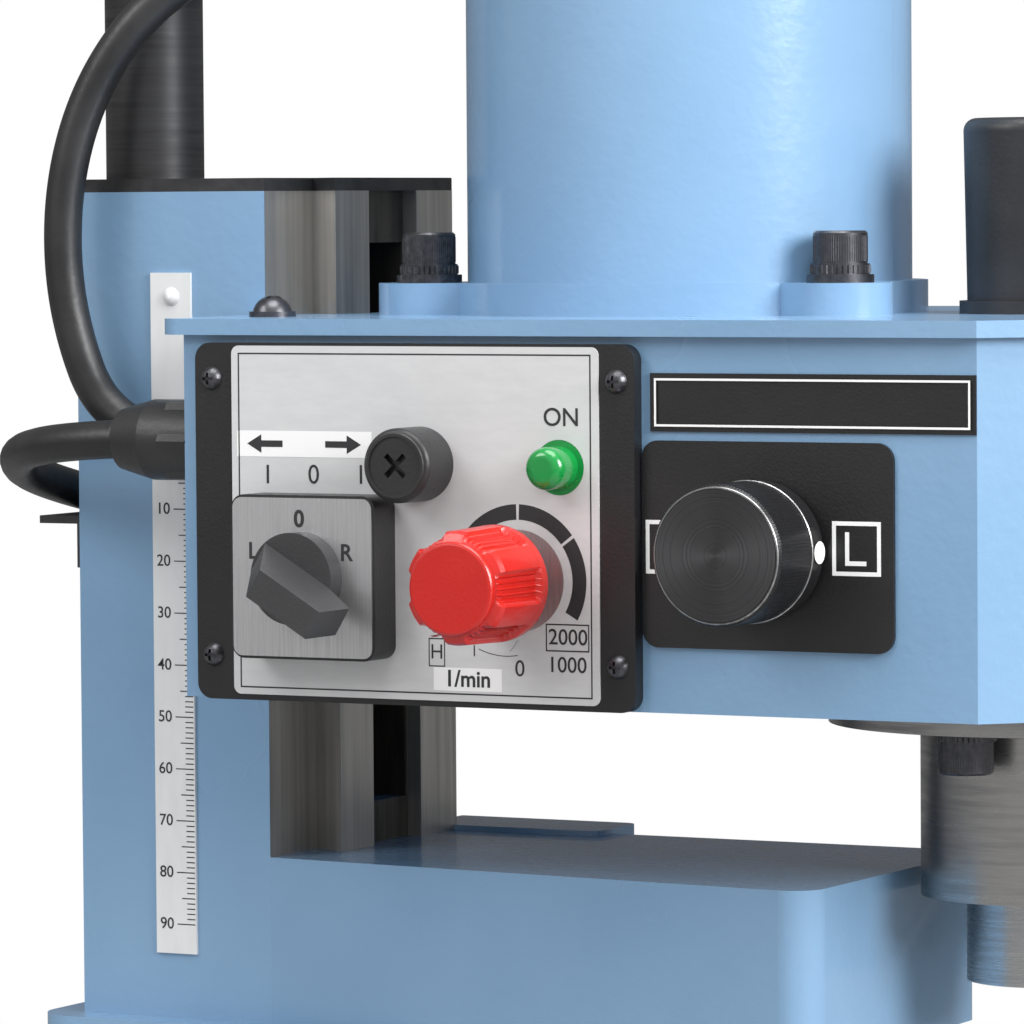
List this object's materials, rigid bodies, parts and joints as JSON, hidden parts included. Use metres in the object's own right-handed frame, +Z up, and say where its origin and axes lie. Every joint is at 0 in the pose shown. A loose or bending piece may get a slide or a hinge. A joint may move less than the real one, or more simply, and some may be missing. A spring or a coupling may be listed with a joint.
{
  "type": "drill milling machine",
  "caption": "Small bench drill and milling machine with a motor over a geared head that lifts on a dovetail column, a quill feed and a cross table.",
  "frame": {"origin": "centre of the base's four mounting holes, on the underside", "axes": "+X towards the machine's front, +Y away from the control panel, +Z up along the spindle"},
  "size_m": [0.4417, 0.3157, 0.4877],
  "materials": {
    "blue_paint": "gloss",
    "head_paint": "gloss",
    "base_paint": "gloss",
    "machined_iron": "machined",
    "steel": "turned",
    "gear_steel": "ground",
    "bolt_steel": "black oxide",
    "bronze": "cast",
    "chrome": "polished",
    "black_plate": "satin",
    "black_plastic": "moulded",
    "silver_sheet": "printed",
    "red_plastic": "moulded",
    "green_lens": "clear",
    "cord_rubber": "smooth"
  },
  "bodies": {
    "frame": {"base": "base_paint", "pedestal": "base_paint", "frame_bolts": "bolt_steel", "column": "blue_paint", "column_cap": "black_plate", "scale_strip": "steel", "lift_tube": "steel", "lead_clip": "black_plate", "mains_lead_drop": "cord_rubber", "mains_lead_coil": "cord_rubber", "mains_plug": "black_plastic", "saddle_bracket": "machined_iron"},
    "lift_screw": {"lift_screw": "steel", "lift_wheel": "chrome"},
    "head": {"lift_nut": "bronze", "head_casting": "head_paint", "head_gib": "machined_iron", "top_plate": "blue_paint", "top_plate_screws": "bolt_steel", "motor_can": "blue_paint", "motor_cap": "blue_paint", "motor_bolts": "bolt_steel", "spindle_cap": "black_plastic", "quill_ring": "steel", "ring_bolts": "bolt_steel", "control_panel": "black_plate", "panel_sheet": "silver_sheet", "panel_screws": "bolt_steel", "switch_body": "silver_sheet", "fuse_holder": "black_plastic", "lamp_lens": "green_lens", "speed_control": "black_plastic", "selector_plate": "black_plate", "cable_glands": "black_plastic", "motor_lead": "cord_rubber", "mains_lead_loop": "cord_rubber"},
    "motor_rotor": {"motor_shaft": "steel"},
    "idler": {"idler_gears": "gear_steel"},
    "spindle_gear": {"spindle_gear": "gear_steel"},
    "quill": {"quill": "steel", "quill_bearings": "steel"},
    "spindle": {"spindle": "steel", "drawbar": "steel"},
    "feed": {"feed_shaft": "steel", "feed_hub": "steel", "feed_spokes": "steel", "feed_grips": "black_plastic"},
    "switch_knob": {"switch_knob": "black_plastic"},
    "speed_knob": {"speed_knob": "red_plastic"},
    "selector_knob": {"selector_knob": "black_plastic"},
    "saddle": {"saddle": "machined_iron", "saddle_gib": "machined_iron", "feed_nuts": "bronze"},
    "saddle_screw": {"saddle_screw": "steel", "saddle_handwheel": "chrome"},
    "table": {"table": "machined_iron", "table_gib": "machined_iron", "table_brackets": "machined_iron"},
    "table_screw": {"table_screw": "steel", "table_handwheel": "chrome"}
  },
  "joints": [
    {"name": "head_lift", "type": "slide", "parent": "frame", "child": "head", "axis": [0, 0, 1], "range_m": [-0.02, 0.02], "deforming": ["mains_lead_loop"]},
    {"name": "lift_screw_turn", "type": "hinge", "parent": "frame", "child": "lift_screw", "pos_m": [-0.101, -0.026, 0.425], "axis": [0, 0, 1], "range_deg": [-3600, 3600]},
    {"name": "motor_spin", "type": "hinge", "parent": "head", "child": "motor_rotor", "pos_m": [0.0015, 0, 0.325], "axis": [0, 0, 1], "continuous": true},
    {"name": "idler_spin", "type": "hinge", "parent": "head", "child": "idler", "pos_m": [0.03704, 0.00571, 0.31], "axis": [0, 0, 1], "continuous": true},
    {"name": "spindle_gear_spin", "type": "hinge", "parent": "head", "child": "spindle_gear", "pos_m": [0.0736, 0, 0.31], "axis": [0, 0, 1], "continuous": true},
    {"name": "quill_feed", "type": "slide", "parent": "head", "child": "quill", "axis": [0, 0, -1], "range_m": [0, 0.03], "stiffness_N_per_m": 500, "springref_m": -0.05},
    {"name": "spindle_spin", "type": "hinge", "parent": "quill", "child": "spindle", "pos_m": [0.0736, 0, 0.225], "axis": [0, 0, 1], "continuous": true},
    {"name": "feed_turn", "type": "hinge", "parent": "head", "child": "feed", "pos_m": [0.0426, 0.08, 0.271], "axis": [0, 1, 0], "range_deg": [0, 172]},
    {"name": "switch_turn", "type": "hinge", "parent": "head", "child": "switch_knob", "pos_m": [-0.0386, -0.08, 0.2816], "axis": [0, -1, 0], "range_deg": [-90, 0]},
    {"name": "speed_turn", "type": "hinge", "parent": "head", "child": "speed_knob", "pos_m": [0.0017, -0.09, 0.2815], "axis": [0, -1, 0], "range_deg": [-270, 0]},
    {"name": "selector_turn", "type": "hinge", "parent": "head", "child": "selector_knob", "pos_m": [0.0492, -0.075, 0.2878], "axis": [0, -1, 0], "range_deg": [0, 180]},
    {"name": "saddle_slide", "type": "slide", "parent": "frame", "child": "saddle", "axis": [1, 0, 0], "range_m": [-0.03, 0.025]},
    {"name": "saddle_screw_turn", "type": "hinge", "parent": "frame", "child": "saddle_screw", "pos_m": [0.14, 0, 0.044], "axis": [1, 0, 0], "range_deg": [-5400, 4500]},
    {"name": "table_slide", "type": "slide", "parent": "saddle", "child": "table", "axis": [0, 1, 0], "range_m": [-0.05, 0.05]},
    {"name": "table_screw_turn", "type": "hinge", "parent": "table", "child": "table_screw", "pos_m": [0.0736, -0.13, 0.075], "axis": [0, 1, 0], "range_deg": [-9000, 9000]}
  ],
  "couplings": [
    {"joint": "lift_screw_turn", "follows": "head_lift", "rad_per_m": 3141.6},
    {"joint": "motor_spin", "follows": "spindle_spin", "ratio": 6.1455},
    {"joint": "idler_spin", "follows": "spindle_spin", "ratio": -2.3636},
    {"joint": "spindle_gear_spin", "follows": "spindle_spin", "ratio": 1},
    {"joint": "feed_turn", "follows": "quill_feed", "rad_per_m": 100},
    {"joint": "saddle_screw_turn", "follows": "saddle_slide", "rad_per_m": 3141.6},
    {"joint": "table_screw_turn", "follows": "table_slide", "rad_per_m": 3141.6}
  ]
}
